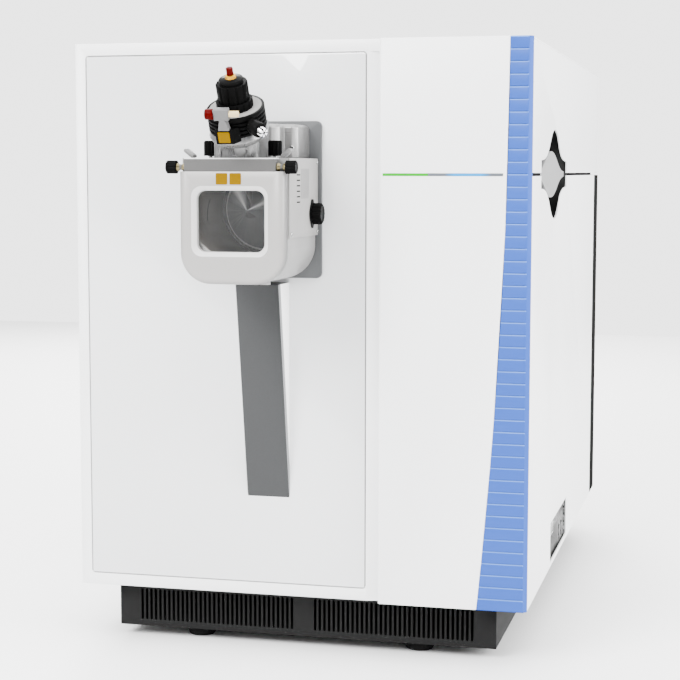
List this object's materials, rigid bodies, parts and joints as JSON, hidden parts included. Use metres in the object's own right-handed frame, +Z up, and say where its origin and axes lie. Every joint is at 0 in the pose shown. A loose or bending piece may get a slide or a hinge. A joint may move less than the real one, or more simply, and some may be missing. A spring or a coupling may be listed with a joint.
{
  "type": "mass spectrometer",
  "caption": "Bench-top mass spectrometer: white cabinet with ribbed blue corner, glossy front, slotted plinth, hand grips and a pull-off ion source with tilted probe.",
  "frame": {"origin": "middle of the outer box, on the bench", "axes": "+X right, +Y to the rear, +Z up, seen by someone standing in front"},
  "size_m": [0.53, 0.9858, 0.697],
  "materials": {
    "white_paint": "satin white paint",
    "gloss_grey": "polished light grey sheet",
    "rib_blue": "mid blue moulded plastic",
    "black_frame": "black powder coat",
    "black_plastic": "black moulded plastic",
    "grip_grey": "grey moulded plastic",
    "foot_rubber": "black rubber",
    "indicator": "clear diffuser over coloured lamps",
    "sheet_grey": "grey painted sheet",
    "plate_grey": "dark grey anodised plate",
    "cast_grey": "light grey paint",
    "bare_metal": "machined, bare",
    "cream_label": "cream plate",
    "red_plastic": "red moulded plastic",
    "window": "clear window",
    "inner_metal": "machined, bare",
    "board_green": "circuit board laminate",
    "supply_case": "plain steel case"
  },
  "bodies": {
    "instrument": {"front_frame": "white_paint", "status_bezel": "white_paint", "upper_panel_left": "white_paint", "upper_panel_right": "white_paint", "lower_panel_left": "white_paint", "lower_panel_right": "white_paint", "top_cover": "white_paint", "gloss_panel": "gloss_grey", "corner_trim": "rib_blue", "chassis_frame": "black_frame", "chassis_deck": "black_frame", "plinth_tray": "black_frame", "plinth_grille": "black_frame", "rear_posts": "black_frame", "grip_cups": "black_plastic", "grip_bars": "grip_grey", "feet": "foot_rubber", "status_light": "indicator", "connector_panel": "sheet_grey", "rear_panel": "sheet_grey", "mount_plate": "plate_grey", "mount_column": "cast_grey", "drain_cover": "cast_grey", "inlet_cone": "bare_metal", "mains_inlet": "black_plastic", "network_sockets": "black_plastic", "rear_ports": "bare_metal", "fan_frames": "black_plastic", "turbo_pump": "bare_metal", "vacuum_manifold": "inner_metal", "manifold_lid": "inner_metal", "ion_optics": "inner_metal", "circuit_boards": "board_green", "power_supply": "supply_case"},
    "source": {"source_housing": "bare_metal", "source_door": "white_paint", "window_glass": "window", "door_bar": "cast_grey", "probe_turret": "bare_metal", "fin_ring": "black_plastic", "sprayer": "bare_metal", "high_voltage_box": "black_plastic", "ground_union": "bare_metal", "fluid_nuts": "red_plastic", "gas_connector": "black_plastic", "scale_plate": "cream_label"},
    "lock_knob_left": {"lock_knob_left": "black_plastic"},
    "lock_knob_right": {"lock_knob_right": "black_plastic"},
    "release_lever_left": {"release_lever_left": "cast_grey"},
    "release_lever_right": {"release_lever_right": "cast_grey"},
    "adjust_knob_left": {"adjust_knob_left": "black_plastic"},
    "adjust_knob_right": {"adjust_knob_right": "black_plastic"},
    "side_knob": {"side_knob": "black_plastic"},
    "depth_nut": {"depth_nut": "black_plastic"},
    "lock_nut": {"lock_nut": "black_plastic"},
    "rocker_switch_front": {"rocker_switch_front": "black_plastic"},
    "rocker_switch_rear": {"rocker_switch_rear": "black_plastic"},
    "fan_rotor_left": {"fan_rotor_left": "black_plastic"},
    "fan_rotor_right": {"fan_rotor_right": "black_plastic"},
    "turbo_rotor": {"turbo_rotor": "inner_metal"}
  },
  "joints": [
    {"name": "source_pull", "type": "slide", "parent": "instrument", "child": "source", "axis": [0, -1, 0], "range_m": [0, 0.09]},
    {"name": "lock_knob_left_turn", "type": "hinge", "parent": "source", "child": "lock_knob_left", "pos_m": [-0.0944, -0.4431, 0.5563], "axis": [1, 0, 0], "range_deg": [0, 90]},
    {"name": "release_lever_left_swing", "type": "hinge", "parent": "source", "child": "release_lever_left", "pos_m": [-0.0827, -0.4231, 0.5682], "axis": [0, 1, 0], "range_deg": [0, 70]},
    {"name": "adjust_knob_left_turn", "type": "hinge", "parent": "source", "child": "adjust_knob_left", "pos_m": [-0.0685, -0.4071, 0.5759], "axis": [0, 0, 1], "range_deg": [-180, 180]},
    {"name": "lock_knob_right_turn", "type": "hinge", "parent": "source", "child": "lock_knob_right", "pos_m": [0.0256, -0.4431, 0.5563], "axis": [1, 0, 0], "range_deg": [0, 90]},
    {"name": "release_lever_right_swing", "type": "hinge", "parent": "source", "child": "release_lever_right", "pos_m": [0.0173, -0.4231, 0.5682], "axis": [0, -1, 0], "range_deg": [0, 70]},
    {"name": "adjust_knob_right_turn", "type": "hinge", "parent": "source", "child": "adjust_knob_right", "pos_m": [0.0031, -0.4071, 0.5759], "axis": [0, 0, 1], "range_deg": [-180, 180]},
    {"name": "side_knob_turn", "type": "hinge", "parent": "source", "child": "side_knob", "pos_m": [0.033, -0.3444, 0.5057], "axis": [1, 0, 0], "range_deg": [-90, 90]},
    {"name": "depth_nut_turn", "type": "hinge", "parent": "source", "child": "depth_nut", "pos_m": [-0.0272, -0.451, 0.61869], "axis": [0, -0.4695, 0.8829], "range_deg": [-180, 180]},
    {"name": "lock_nut_turn", "type": "hinge", "parent": "source", "child": "lock_nut", "pos_m": [-0.0272, -0.45522, 0.62663], "axis": [0, -0.4695, 0.8829], "range_deg": [-180, 180]},
    {"name": "rocker_front_tip", "type": "hinge", "parent": "instrument", "child": "rocker_switch_front", "pos_m": [0.2575, 0.0339, 0.084], "axis": [0, 1, 0], "range_deg": [0, 14]},
    {"name": "rocker_rear_tip", "type": "hinge", "parent": "instrument", "child": "rocker_switch_rear", "pos_m": [0.2575, 0.0579, 0.084], "axis": [0, 1, 0], "range_deg": [0, 14]},
    {"name": "fan_left_spin", "type": "hinge", "parent": "instrument", "child": "fan_rotor_left", "pos_m": [-0.12, 0.4489, 0.396], "axis": [0, 1, 0], "continuous": true},
    {"name": "fan_right_spin", "type": "hinge", "parent": "instrument", "child": "fan_rotor_right", "pos_m": [0.12, 0.4489, 0.396], "axis": [0, 1, 0], "continuous": true},
    {"name": "turbo_spin", "type": "hinge", "parent": "instrument", "child": "turbo_rotor", "pos_m": [-0.025, 0.02725, 0.3597], "axis": [0, 0, 1], "continuous": true}
  ]
}
